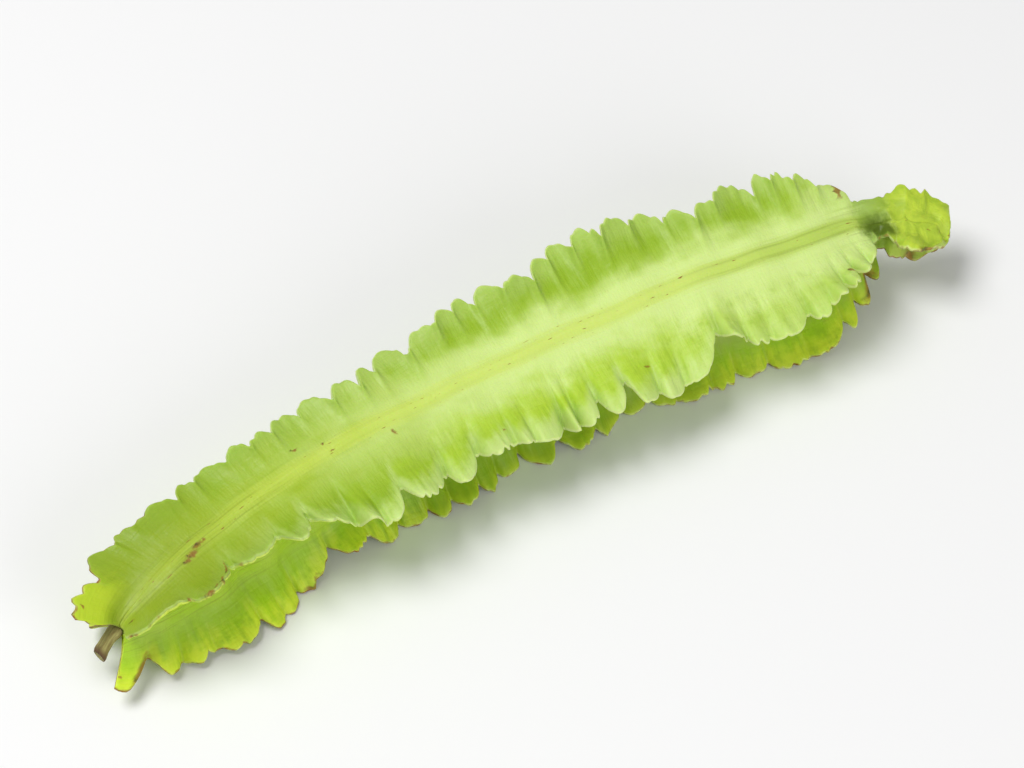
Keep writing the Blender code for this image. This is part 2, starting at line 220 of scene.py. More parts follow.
REAR_TOP = Wing(
    angle=((0, -4), (3, 32), (11, 54), (40, 50), (100, 48), (140, 52), (150, 58), (163, 66)),
    reach=(
        (0, 1.9), (0.8, 5.6), (2, 8.6), (5, 11), (9, 11.8), (20, 11.6), (50, 11.4), (62, 12.4), (70, 14),
        (76, 15), (81, 15.6), (87, 15), (92, 16), (99, 17.6), (106, 17.4), (113, 15.6), (120, 14.2),
        (127, 15.6), (133, 15.4), (137, 14.6), (143, 10.8), (147, 7.2), (150, 4.6), (155, 7.8),
        (159, 7.8), (162, 4), (163, 0.9),
    ),
    curl=((0, 20), (30, 8), (90, 4), (130, 10), (163, 26)),
    lean=((0, -7.5), (3, -6), (8, -4), (22, 0), (124, 0), (140, 0), (147, 1), (150, 0), (163, 0)),
    depth=((0, 0.4), (8, 1.0), (40, 1.5), (90, 1.8), (128, 1.8), (142, 1), (150, 0.4), (163, 0.1)),
    cuts=(
        (5.2, 2.4), (74.8, 1), (78.9, 2), (83.9, 1.2), (89.5, 2), (93.6, 1.2), (98.1, 1.8), (103, 1.2),
        (108.6, 1.4), (114.5, 1.2), (119.5, 1.8), (123.6, 1), (131.5, 2.5), (134.7, 1.4), (138.4, 1.6),
        (142.2, 1.3), (147, 1.6),
    ),
    tip_share=0.45,
    roundness=1.5,
    flute=0.6,
    ruffle=0.7,
    ruffle_length=17.0,
    seed=23,
    gap=0.08,
    tongue=0.2,
    spread=0.05,
    flip=0.8,
    pleat=0.26,
    pleat_length=2.9,
    teeth=1.3,
    tooth_length=1.7,
    dry=((0, 0.8), (14, 0.6), (30, 0.1), (120, 0), (138, 0.25), (146, 0.5), (163, 0.4)),
)
REAR_BOTTOM = Wing(
    angle=((0, 122), (30, 130), (80, 134), (140, 130), (163, 126)),
    reach=(
        (0, 1.9), (1.5, 6), (4, 9.6), (10, 12.8), (24, 15.8), (60, 18), (100, 18.6), (122, 18),
        (138, 14), (144, 9.6), (149, 4.2), (151, 4), (156, 5), (160, 4.2), (162, 2.4), (163, 0.9),
    ),
    curl=((0, -8), (40, -14), (90, -18), (130, -12), (163, 0)),
    lean=((0, -3), (3, -4), (10, -2), (24, 0), (124, 0), (140, 1), (146, 2), (150, 0), (163, 0)),
    depth=((0, 0.3), (12, 1.2), (60, 1.7), (120, 1.6), (142, 0.7), (150, 0.3), (163, 0.1)),
    cuts=(),
    tip_share=0.5,
    roundness=2.0,
    flute=0.5,
    ruffle=0.7,
    ruffle_length=19.0,
    seed=37,
    gap=0.05,
    tongue=0.3,
    spread=0.05,
    flip=0.4,
    pleat=0.26,
    pleat_length=2.7,
    teeth=0.9,
    tooth_length=1.5,
    dry=((0, 0.8), (30, 0.5), (130, 0.4), (163, 0.7)),
)
FRONT_BOTTOM = Wing(
    angle=((0, 234), (22, 230), (40, 228), (60, 226), (100, 224), (140, 230), (163, 232)),
    reach=(
        (0, 1.9), (0.8, 6.4), (2.4, 9.4), (4.2, 9.6), (6, 11.6), (10, 13.4), (20, 16.8), (29.5, 18),
        (33, 14.6), (42, 14.6), (51, 16.8), (64, 17.2), (100, 17.2), (124, 17.8), (130, 18.4), (136, 17.4),
        (143, 12.8), (147, 8), (150, 4.4), (155, 5.6), (159, 5), (162, 2.6), (163, 0.9),
    ),
    curl=((0, 4), (30, 6), (60, 14), (100, 18), (130, 14), (163, 0)),
    lean=((0, -9), (2, -8), (5, -4), (10, -3), (24, 0), (124, 0), (138, 1), (146, 1.5), (150, 0), (163, 0)),
    depth=(
        (0, 1.6), (6, 2.4), (12, 1.4), (60, 1.6), (100, 1.5), (124, 0.8), (142, 0.9), (150, 0.3),
        (163, 0.1),
    ),
    cuts=(
        (3.9, 2.0), (8.2, 1.1), (12.8, 0.9), (20.2, 2.2), (24.2, 1), (28.6, 1.6), (37.3, 2.6),
        (44.8, 1.3), (51.1, 1.5), (57.3, 1.8), (61.6, 1.6), (67.2, 1.7), (71.4, 2), (76.4, 3),
        (83.4, 2.6), (90.3, 1.8), (96, 1.4), (101.5, 0.8), (106, 0.8), (113, 0.6), (118, 0.9),
        (124, 0.9), (130.8, 0.7), (138.2, 2), (141.5, 2.4), (145, 2),
    ),
    tip_share=0.45,
    roundness=1.5,
    flute=0.5,
    ruffle=0.8,
    ruffle_length=23.0,
    seed=53,
    gap=0.06,
    tongue=0.1,
    spread=0.03,
    flip=0.5,
    pleat=0.26,
    pleat_length=2.6,
    teeth=1.2,
    tooth_length=1.8,
    dry=((0, 0.9), (10, 0.65), (34, 0.95), (50, 0.6), (110, 0.5), (140, 0.7), (148, 1), (163, 0.8)),
)
# Round the section from the front over the top, so that each wing's angle is larger than the last one's
WINGS = (FRONT_TOP, REAR_TOP, REAR_BOTTOM, FRONT_BOTTOM)
FACES_AFTER = (TOP_FACE, SIDE_FACE, BOTTOM_FACE, SIDE_FACE)

# The beak: how much larger its teeth are, and how far its skin is crumpled
BEAK_TEETH = ((0, 0.3), (6, 0), (147, 0), (152, 0.7), (163, 0.7))
CRUMPLE = ((0, 0.2), (12, 0), (143, 0), (151, 0.8), (159, 1.1), (163, 0.6))
CRUMPLE_SIZE = 3.0
CRUMPLE_FADE = 2.4
# For each axis, the seed of its folds and their share
CRUMPLE_FOLDS = ((81, 0.5), (82, 0.7), (83, 0.8))

# The hollow in the neck's top face: its place along and across, its half length and half width, and its depth
HOLLOW = (150.2, -1.6, 2.2, 1.3)
HOLLOW_DEPTH = 0.9

# The stalk's stub: distance from the pod and radius
STALK_RADII = ((0.02, 1.2), (0.3, 1.25), (0.7, 1.3), (2.0, 1.15), (3.4, 1.2), (4.4, 1.35), (4.8, 1.2))
STALK_LENGTH = 5.0
STALK_DROOP = 3.0
STALK_SIDES = 40
STALK_RINGS = 60
STALK_GRAIN = 0.07
STALK_SEED = 71

# The camera, at the photo's angle: degrees, metres and millimetres
AZIMUTH = -31.0
ELEVATION = 52.0
DISTANCE = 0.65
LENS = 138.0

# The floor, and the lights: name, place, size and power
FLOOR_SIDE = 3.0
FLOOR_GAP = 0.0002
LIGHTS = (("key", (-0.35, 0.2, 0.9), 0.6, 7.2), ("fill", (0.15, -0.8, 0.35), 0.6, 2.8))
SKY_STRENGTH = 0.3


def srgb(red, green, blue):
    """A linear colour from the values that a screen shows."""
    channels = [v / 255 for v in (red, green, blue)]
    return (*[v / 12.92 if v <= 0.04045 else ((v + 0.055) / 1.055) ** 2.4 for v in channels], 1.0)


PALE = srgb(211, 233, 142)
PALE_BY_STALK = srgb(160, 188, 40)
SEAM_YELLOW = srgb(204, 222, 92)
SEAM_BY_BEAK = srgb(168, 196, 34)
GREEN = srgb(180, 212, 60)
GREEN_BY_STALK = srgb(130, 166, 10)
DEEP = srgb(145, 180, 36)
FROST = srgb(200, 222, 134)
RIM_COLOUR = srgb(228, 240, 172)
LOWER = srgb(168, 210, 18)
# Deeper green: the lower wings' own colour with painted shadow of the top wing, and painted shade round the
# neck
LOWER_GREEN_AND_SHADE = srgb(118, 154, 6)
LOWER_MARGIN = srgb(208, 228, 54)
OLIVE = srgb(158, 178, 70)
SEED_GREEN = srgb(178, 204, 76)
# Olive for painted shade by the stalk and beside the seam, and for fibre streaks
OLIVE_SHADE_AND_FIBRE = srgb(138, 158, 36)
# The beak's green in painted light, with its painted shade below
BEAK_LIT = srgb(192, 214, 52)
BEAK_SHADE = srgb(160, 188, 34)
# Painted shade in the neck's hollow
NECK_HOLLOW_SHADE = srgb(80, 102, 10)
RUST = srgb(146, 98, 38)
DARK = srgb(62, 48, 18)

# Brown marks on the faces: the face, the distance along the axis, the distance across from the face's middle
# (below zero on the front side), the half length and the half width
FACE_MARKS = (
    (0, 14.6, -1.6, 0.8, 0.45), (0, 15.9, -1.2, 1.2, 0.6), (0, 17.6, -0.6, 1.1, 0.4),
    (0, 18.6, -0.3, 0.5, 0.3), (0, 40.2, 3.2, 0.7, 0.18), (0, 44.6, 1.5, 0.5, 0.2),
    (0, 45.2, -0.5, 0.5, 0.16), (0, 55.6, -2.6, 0.35, 0.6), (0, 72.4, -11.7, 0.3, 0.4),
    (0, 100.2, -11.2, 0.5, 0.35), (0, 139.7, -9.2, 0.45, 0.45), (0, 144.9, 7.0, 0.3, 1.9),
    (0, 2.8, -2.8, 0.5, 0.3), (1, 60.0, 2.0, 0.6, 0.4), (2, 90.0, 5.0, 0.8, 0.3),
    (3, 78.0, -6.0, 0.6, 0.25),
)
# The same on the wings, by the wing and the distance from its edge
EDGE_MARKS = (
    (0, 12.8, 0.4, 0.7, 0.9), (0, 14.4, 1.3, 0.5, 0.6), (0, 15.8, 0.8, 0.6, 0.7),
    (0, 17.8, 1.2, 0.7, 0.5), (3, 3.1, 0.8, 1.1, 1.6), (3, 0.8, 2.2, 0.4, 0.4), (1, 1.9, 1.2, 0.3, 0.3),
    (3, 31.4, 0.4, 1.6, 0.7), (3, 144.6, 1.0, 1.9, 1.6), (0, 158.6, 0.3, 1.3, 0.9),
    (3, 157.6, 0.6, 1.6, 1.2), (1, 145.0, 0.6, 0.4, 2.4), (2, 12.0, 0.8, 1.2, 0.9),
    (2, 103.0, 0.5, 1.0, 0.6),
)


def along(x, points):
    """A smooth value for each x from a few (distance, value) points, which never overshoots them."""
    xs, ys = np.array(points, float).T
    secant = np.diff(ys) / np.diff(xs)
    product = secant[1:] * secant[:-1]
    total = np.where(product > 0, secant[1:] + secant[:-1], 1.0)
    slopes = np.concatenate([secant[:1], np.where(product > 0, 2 * product / total, 0.0), secant[-1:]])
    x = np.clip(x, xs[0], xs[-1])
    i = np.clip(np.searchsorted(xs, x, side="right") - 1, 0, len(xs) - 2)
    h = xs[i + 1] - xs[i]
    t = (x - xs[i]) / h
    start = (1 + 2 * t) * (1 - t) ** 2 * ys[i] + t * (1 - t) ** 2 * h * slopes[i]
    end = t * t * (3 - 2 * t) * ys[i + 1] + t * t * (t - 1) * h * slopes[i + 1]
    return start + end


def noise(u, v, seed):
    """Smooth noise from -1 to 1 over a plane, with a new value at each whole number."""
    size = 64
    grid = np.random.default_rng(seed).uniform(-1, 1, (size, size))
    u, v = np.broadcast_arrays(np.asarray(u, float), np.asarray(v, float))
    i, j = np.floor(u).astype(int), np.floor(v).astype(int)
    a, b = u - i, v - j
    a, b = a * a * (3 - 2 * a), b * b * (3 - 2 * b)
    near = grid[i % size, j % size] * (1 - a) + grid[(i + 1) % size, j % size] * a
    far = grid[i % size, (j + 1) % size] * (1 - a) + grid[(i + 1) % size, (j + 1) % size] * a
    return near * (1 - b) + far * b


def axis_frames(x):
    """Each station's point on the axis, with the unit vectors along it, up and to the rear."""
    steps = np.linspace(0, LENGTH, AXIS_STEPS)
    heading, slope = np.radians(along(steps, HEADING)), np.radians(along(steps, SLOPE))
    tangent = np.stack(
        [np.cos(slope) * np.cos(heading), np.cos(slope) * np.sin(heading), np.sin(slope)], axis=1
    )
    middles = (tangent[1:] + tangent[:-1]) / 2 * (steps[1] - steps[0])
    path = np.vstack([[0, 0, START_HEIGHT], [0, 0, START_HEIGHT] + np.cumsum(middles, axis=0)])
    centre = np.stack([np.interp(x, steps, path[:, k]) for k in range(3)], axis=1)
    heading, slope = np.radians(along(x, HEADING)), np.radians(along(x, SLOPE))
    forward = np.stack(
        [np.cos(slope) * np.cos(heading), np.cos(slope) * np.sin(heading), np.sin(slope)], axis=1
    )
    rear = np.stack([-np.sin(heading), np.cos(heading), np.zeros_like(x)], axis=1)
    return centre, forward, np.cross(forward, rear), rear


def seed_swell(x):
    """How far the side faces stand out over each seed."""
    inside = along(x, ((SEED_START - 8, 0), (SEED_START, 1), (SEED_END - 12, 1), (SEED_END, 0)))
    return SEED_SWELL * inside * (1 - np.cos(2 * math.pi * x / SEED_SPACING)) / 2


def wing_cuts(wing):
    """Where the wing's edge is cut in and how deep: the given cuts, with seeded ones in wide gaps."""
    draw = np.random.default_rng(wing.seed)
    given = [(0.0, 0.1), *wing.cuts, (LENGTH, 0.1)]
    cuts = []
    for (start, depth), (end, _) in zip(given, given[1:]):
        cuts.append((start, depth))
        count = round((end - start) / LOBE) if end - start > WIDEST_LOBE else 1
        for i in range(1, count):
            place = start + (end - start) * (i + draw.uniform(-0.24, 0.24)) / count
            cuts.append((place, float(along(place, wing.depth)) * draw.uniform(0.45, 1.25)))
    return np.array([*cuts, given[-1]]).T


def stations():
    """Places along the axis, closer together where the front top wing is cut in."""
    x = np.linspace(0, LENGTH, 8 * STATIONS)
    place, depth = wing_cuts(FRONT_TOP)
    near = np.exp(-(((x[:, None] - place) / CUT_WIDTH) ** 2)) * np.clip(depth / DEEP_CUT, 0, 1)
    crowding = 1 + CROWDING * near.max(axis=1)
    total = np.concatenate([[0], np.cumsum((crowding[1:] + crowding[:-1]) / 2)])
    return np.interp(np.linspace(0, total[-1], STATIONS), total, x)


@dataclass
class Lobes:
    """For each station of one wing: the cut into the edge, how far the lobe arches out of the wing's surface
    and flips at its tip, how far it spreads along the wing, how near a cut is, and the lobe's own tone.
    """

    drop: np.ndarray
    bulge: np.ndarray
    flip: np.ndarray
    slide: np.ndarray
    crease: np.ndarray
    tone: np.ndarray


def lobes(wing, x):
    """The shape of one wing's lobes. Each reaches from one cut to the next."""
    place, depth = wing_cuts(wing)
    draw = np.random.default_rng(wing.seed + 1)
    rise, arch = draw.uniform(-0.15, 0.15, len(place)), draw.uniform(0.4, 1.4, len(place))
    flip, tone = draw.uniform(-0.6, 1, len(place)), draw.uniform(-1, 1, len(place))
    k = np.clip(np.searchsorted(place, x, side="right") - 1, 0, len(place) - 2)
    width = place[k + 1] - place[k]
    share = (x - place[k]) / width
    tip = wing.tip_share
    from_tip = np.where(share < tip, 1 - share / tip, (share - tip) / (1 - tip))
    from_tip = np.minimum(from_tip / (1 - wing.gap), 1)
    usual = along(x, wing.depth)
    pointed, tongue = from_tip**wing.roundness, 1 - np.sqrt(1 - np.minimum(from_tip, 0.995) ** 2)
    cut = np.where(share < tip, depth[k], depth[k + 1])
    near = np.minimum(share, 1 - share) * width
    fullness = 1 - from_tip**2
    notch = cut * NOTCH_DEPTH * (pointed + (tongue - pointed) * wing.tongue)
    return Lobes(
        drop=notch - usual * rise[k] * fullness,
        bulge=wing.flute * usual * (arch[k] * fullness - 0.5),
        flip=wing.flip * flip[k] * fullness,
        slide=-wing.spread * width * np.sin(2 * math.pi * share),
        crease=np.exp(-((near / CREASE_WIDTH) ** 2)) * np.clip(cut / 2, 0.2, 1),
        tone=tone[k],
    )


def small_teeth(wing, x):
    """How far the ragged edge is nicked between its teeth, which are as uneven as the lobes."""
    draw = np.random.default_rng(wing.seed + 2)
    steps = draw.uniform(0.5, 1.5, round(1.2 * LENGTH / wing.tooth_length)) * wing.tooth_length
    place = np.concatenate([[0], np.cumsum(steps)])
    depth = draw.uniform(0.1, 1, len(place))
    k = np.clip(np.searchsorted(place, x, side="right") - 1, 0, len(place) - 2)
    share = (x - place[k]) / (place[k + 1] - place[k])
    nick = np.where(share < 0.5, depth[k], depth[k + 1])
    strength = 0.7 + 0.5 * noise(x / 6, 0.0, wing.seed + 4) + along(x, BEAK_TEETH)
    return wing.teeth * strength * nick * np.abs(2 * share - 1) ** wing.roundness


def half_thickness(distance, reach, face, half_angle):
    """From the wing's middle surface to its skin: the flat body face, filleted into the wing."""
    level = np.clip(distance / reach, 0, 1)
    thin = np.minimum((ROOT_THICKNESS * (1 - level) + EDGE_THICKNESS * level) / 2, 0.45 * face + 0.2)
    flat = face * np.sin(half_angle) - (distance - face * np.cos(half_angle)) / np.tan(half_angle)
    blend = FILLET * np.minimum(1, face / 4)
    return (flat + thin + np.sqrt((flat - thin) ** 2 + blend**2)) / 2


def wing_wave(wing, x, level, shape):
    """How far the wing's middle surface stands off: flutes, ruffles, pleats and tipped lobes."""
    usual = along(x, wing.depth)
    ruffle = wing.ruffle * np.sin(2 * math.pi * x / wing.ruffle_length + wing.seed) * usual
    pleats = noise(x / wing.pleat_length, level * 1.5, wing.seed + 5)
    pleats = pleats + 0.45 * noise(x / wing.pleat_length * 2.1, level * 2, wing.seed + 6)
    wave = (shape.bulge * level + ruffle) * level**2 + shape.flip * level**5
    return wave + wing.pleat * pleats * level**1.5 - CREASE_DEPTH * shape.crease * level**3


def side_columns():
    """The level of each column from a wing's root to its edge, and how far it has turned round the rim."""
    return [(level, 0.0) for level in INNER_LEVELS] + [(1.0, math.radians(turn)) for turn in RIM_TURNS]


def wing_sides(wing, x, shape, angle, before, after, lift, forward):
    """Points of the wing's two sides, as arrays of (up, rear, along) for each station and column.

    The faces before and after the wing are given by their distance from the axis and their half angle, and
    lift is the axis's height and how far a step up in the section raises a point. Where an edge would pass
    through the surface at height 0, the wing is shortened until it stands on it.
    """
    reach = along(x, wing.reach)
    drop = shape.drop + small_teeth(wing, x) * np.clip(reach / TEETH_FADE - 0.3, 0, 1)
    curl = np.radians(along(x, wing.curl))
    for _ in range(EDGE_TRIMS):
        sides = []
        edge = reach - drop
        rim = np.minimum(RIM, 0.25 * edge)
        fade = np.clip(edge / WAVE_FADE, 0, 1)
        lean = along(x, wing.lean) * np.clip((edge - END_RADIUS) / LEAN_FADE, 0, 1)
        bend_from = BEND_START * np.maximum(before[0], after[0])
        for sign, (face, half_angle) in ((-1, before), (1, after)):
            side = []
            for level, turned in side_columns():
                distance = (reach * level - drop * level**3) * (1 - rim / edge) + rim * math.sin(turned)
                distance = distance + face * np.cos(half_angle) * (1 - level) ** 2
                bent = np.maximum(distance - bend_from, 0)
                turn = curl * bent / np.maximum(reach - bend_from, 1)
                straight = np.minimum(distance, bend_from)
                skin = sign * half_thickness(distance, edge, face, half_angle) * math.cos(turned)
                skin = skin + wing_wave(wing, x, level, shape) * fade
                bow, tilt = angle + turn / 2, angle + turn
                up = straight * np.cos(angle) + bent * np.cos(bow) - skin * np.sin(tilt)
                rear = straight * np.sin(angle) + bent * np.sin(bow) + skin * np.cos(tilt)
                slide = lean * (distance / reach) ** 1.5 + shape.slide * level**4 * fade
                side.append(np.stack([up, rear, slide], axis=1))
            sides.append(side)
        heights = [lift[0] + side[-1][:, 0] * lift[1] + side[-1][:, 2] * forward[:, 2] for side in sides]
        reach = reach - np.maximum(-np.maximum(*heights), 0) / np.maximum(-np.cos(angle + curl), 0.3)
    return sides


@dataclass
class Skin:
    """The pod's skin: its points for each station and place round the section, in millimetres, and for each
    point where it lies: along the axis, across its face from the face's middle, and from the wing's edge.
    """

    points: np.ndarray
    along: np.ndarray
    across: np.ndarray
    edge: np.ndarray
    face: np.ndarray
    wing: np.ndarray
    dry: np.ndarray
    crease: np.ndarray
    tone: np.ndarray


def pod_skin(x):
    """The whole skin: four wings round the axis, with the middle of a face after each."""
    centre, forward, upward, rearward = axis_frames(x)
    roll = np.radians(along(x, ROLL))
    angles = [np.radians(along(x, wing.angle)) + roll for wing in WINGS]
    swell = seed_swell(x)
    dents = [DENT * noise(x / DENT_LENGTH, 3.0 * k, DENT_SEED) * along(x, DENT_FADE) for k in range(4)]
    faces = [
        along(x, face) + (swell if face is SIDE_FACE else 0) + dent
        for face, dent in zip(FACES_AFTER, dents)
    ]
    shapes = [lobes(wing, x) for wing in WINGS]
    ring, outward = [], []
    for k, wing in enumerate(WINGS):
        last = angles[k - 1] - (2 * math.pi if k == 0 else 0)
        following = angles[(k + 1) % 4] + (2 * math.pi if k == 3 else 0)
        before = (faces[k - 1], (angles[k] - last) / 2)
        after = (faces[k], (following - angles[k]) / 2)
        lift = (centre[:, 2], upward[:, 2])
        rising, falling = wing_sides(wing, x, shapes[k], angles[k], before, after, lift, forward)
        middle = (angles[k] + following) / 2
        direction = np.stack([np.cos(middle), np.sin(middle), 0 * middle], axis=1)
        ring += rising + falling[::-1] + [faces[k][:, None] * direction]
        outward.append(direction[:, 0:1] * upward + direction[:, 1:2] * rearward)
    section = np.stack(ring, axis=1)
    points = centre[:, None] + (
        section[..., 0:1] * upward[:, None]
        + section[..., 1:2] * rearward[:, None]
        + section[..., 2:3] * forward[:, None]
    )
    skin = measured_skin(x, points, shapes)
    raise_seams(skin, faces, outward)
    sink_hollow(skin, outward[0])
    crumple(skin, x)
    skin.points[..., 2] = np.maximum(skin.points[..., 2], 0)
    return skin


def measured_skin(x, points, shapes):
    """Measures each point's distance round the skin from the middle of its face and from the wing's edge."""
    levels = np.array([level for level, _ in side_columns()])
    per_side = len(levels)
    whole = 2 * per_side + 1
    skin = Skin(points, *(np.zeros(points.shape[:2]) for _ in range(8)))
    skin.along += x[:, None]
    for k, (wing, shape) in enumerate(zip(WINGS, shapes)):
        middle, following = (k + 1) * whole - 1, (k + 1) % 4 * whole
        skin.edge[:, middle] = FAR_FROM_EDGE
        skin.face[:, middle] = k
        falling, rising = range(middle - 1, middle - 1 - per_side, -1), range(following, following + per_side)
        for columns, sign in ((list(falling), -1), (list(rising), 1)):
            line = points[:, [middle, *columns]]
            run = np.cumsum(np.linalg.norm(np.diff(line, axis=1), axis=2), axis=1)
            skin.across[:, columns] = sign * run
            skin.edge[:, columns] = run[:, -1:] - run
            skin.face[:, columns] = k
        both = slice(k * whole, k * whole + 2 * per_side)
        spread = np.concatenate([levels, levels[::-1]])
        skin.wing[:, both] = k
        skin.dry[:, both] = along(x, wing.dry)[:, None]
        skin.crease[:, both] = shape.crease[:, None] * spread**2
        skin.tone[:, both] = shape.tone[:, None] * spread**2
    skin.across += SEAM_WANDER * noise(x / SEAM_WANDER_LENGTH, 0.0, SEAM_SEED)[:, None]
    return skin


def raise_seams(skin, faces, outward):
    """Raises the seams along the middle of the top and bottom faces, with a shallow groove on each side."""
    for k in (0, 2):
        size = np.minimum(1, faces[k] / 4) * along(skin.along[:, 0], SEAM_FADE)
        ridge = SEAM_RISE * np.exp(-((skin.across / SEAM_WIDTH) ** 2))
        groove = GROOVE_DEPTH * np.exp(-(((np.abs(skin.across) - GROOVE_PLACE) / GROOVE_WIDTH) ** 2))
        rise = np.where(skin.face == k, (ridge - groove) * size[:, None], 0)
        skin.points += rise[..., None] * outward[k][:, None]


def sink_hollow(skin, outward):
    """Sinks a hollow into the top face of the neck, in front of its ridge."""
    x, across, half_length, half_width = HOLLOW
    near = ((skin.along - x) / half_length) ** 2 + ((skin.across - across) / half_width) ** 2
    depth = np.where(skin.face == 0, HOLLOW_DEPTH * np.exp(-near), 0)
    skin.points -= depth[..., None] * outward[:, None]


def crumple(skin, x):
    """Moves the skin about in flat-sided folds, by the same amount on both sides of a wing."""
    strength = along(x, CRUMPLE)[:, None]
    on_wing = np.clip(np.abs(skin.across) / CRUMPLE_FADE, 0, 1)
    for axis, (seed, share) in enumerate(CRUMPLE_FOLDS):
        of_wing = noise(skin.along / CRUMPLE_SIZE, skin.wing * 5 + skin.edge / 4, seed)
        of_face = noise(skin.along / CRUMPLE_SIZE, skin.face * 7 + 33, seed)
        fold = of_wing * on_wing + of_face * (1 - on_wing)
        skin.points[..., axis] += strength * share * (1 - 2 * np.abs(fold))


def closed_mesh(name, rings):
    """A closed mesh in metres, lofted through rings given in millimetres."""
    stations, around, _ = rings.shape
    points = np.concatenate([rings.reshape(-1, 3), [rings[0].mean(axis=0), rings[-1].mean(axis=0)]])
    i, j = np.meshgrid(np.arange(stations - 1), np.arange(around), indexing="ij")
    a, b = i * around + j, i * around + (j + 1) % around
    quads = np.stack([a, a + around, b + around, b], axis=-1).reshape(-1, 4).tolist()
    last, end = (stations - 1) * around, stations * around
    caps = [(end, (k + 1) % around, k) for k in range(around)]
    caps += [(end + 1, last + k, last + (k + 1) % around) for k in range(around)]
    mesh = bpy.data.meshes.new(name)
    mesh.from_pydata((points * MM).tolist(), [], quads + caps)
    mesh.validate()
    mesh.shade_smooth()
    return mesh


def add_attribute(mesh, name, values):
    """Stores a number for each point, for the material to read. The two caps' middles get the last one."""
    flat = values.reshape(-1)
    layer = mesh.attributes.new(name, "FLOAT", "POINT")
    layer.data.foreach_set("value", np.concatenate([flat, flat[-1:], flat[-1:]]).astype(np.float32))


def add_object(name, mesh, material):
    mesh.materials.append(material)
    made = bpy.data.objects.new(name, mesh)
    bpy.context.scene.collection.objects.link(made)
    return made


class Shader:
    """A material's node tree, with short calls for the nodes that it needs."""

    def __init__(self, name):
        self.material = bpy.data.materials.new(name)
        self.material.use_nodes = True
        self.tree = self.material.node_tree
        self.surface = self.tree.nodes["Principled BSDF"]

    def put(self, socket, value):
        if isinstance(value, bpy.types.NodeSocket):
            self.tree.links.new(value, socket)
        else:
            socket.default_value = value

    def attribute(self, name):
        node = self.tree.nodes.new("ShaderNodeAttribute")
        node.attribute_name = name
        return node.outputs["Fac"]

    def math(self, operation, a, b=0.0):
        node = self.tree.nodes.new("ShaderNodeMath")
        node.operation = operation
        self.put(node.inputs[0], a)
        self.put(node.inputs[1], b)
        return node.outputs[0]

    def times(self, first, *others):
        for other in others:
            first = self.math("MULTIPLY", first, other)
        return first

    def plus(self, first, *others):
        for other in others:
            first = self.math("ADD", first, other)
        return first

    def ramp(self, value, start, end, low=0.0, high=1.0):
        """Goes smoothly from low to high while the value goes from start to end."""
        node = self.tree.nodes.new("ShaderNodeMapRange")
        node.interpolation_type = "SMOOTHSTEP"
        ends = {"Value": value, "From Min": start, "From Max": end, "To Min": low, "To Max": high}
        for key, given in ends.items():
            self.put(node.inputs[key], given)
        return node.outputs[0]

    def vector(self, x, y, z=0.0):
        node = self.tree.nodes.new("ShaderNodeCombineXYZ")
        for socket, given in zip(node.inputs, (x, y, z)):
            self.put(socket, given)
        return node.outputs[0]

    def scaled(self, vector, scale, offset=(0, 0, 0)):
        node = self.tree.nodes.new("ShaderNodeVectorMath")
        node.operation = "MULTIPLY_ADD"
        self.put(node.inputs[0], vector)
        node.inputs[1].default_value = scale
        node.inputs[2].default_value = offset
        return node.outputs[0]

    def length(self, vector):
        node = self.tree.nodes.new("ShaderNodeVectorMath")
        node.operation = "LENGTH"
        self.put(node.inputs[0], vector)
        return node.outputs["Value"]

    def noise(self, vector, detail=2.0, roughness=0.5):
        """Noise round zero, mostly between -0.3 and 0.3."""
        node = self.tree.nodes.new("ShaderNodeTexNoise")
        self.put(node.inputs["Vector"], vector)
        node.inputs["Scale"].default_value = 1.0
        node.inputs["Detail"].default_value = detail
        node.inputs["Roughness"].default_value = roughness
        return self.math("SUBTRACT", node.outputs["Fac"], 0.5)

    def mix(self, share, a, b):
        node = self.tree.nodes.new("ShaderNodeMix")
        node.data_type = "RGBA"
        for socket, given in ((node.inputs[0], share), (node.inputs[6], a), (node.inputs[7], b)):
            self.put(socket, given)
        return node.outputs[2]

    def spot(self, place, centre, half_length, half_width):
        """1 at the centre and 0 outside an ellipse. The place's third number must match the centre's."""
        scale = (1 / half_length, 1 / half_width, 1.0)
        offset = tuple(-c * k for c, k in zip(centre, scale))
        return self.ramp(self.length(self.scaled(place, scale, offset)), 1.3, 0.3)

    def spots(self, place, marks):
        """The largest of the spots at marks, each of which names the face or wing that it is on."""
        shares = [
            self.spot(place, (x, y, layer * LAYER), length, width)
            for layer, x, y, length, width in marks
        ]
        found = shares[0]
        for share in shares[1:]:
            found = self.math("MAXIMUM", found, share)
        return found

    def bump(self, height, strength, distance):
        node = self.tree.nodes.new("ShaderNodeBump")
        node.inputs["Strength"].default_value = strength
        node.inputs["Distance"].default_value = distance
        self.put(node.inputs["Height"], height)
        return node.outputs[0]


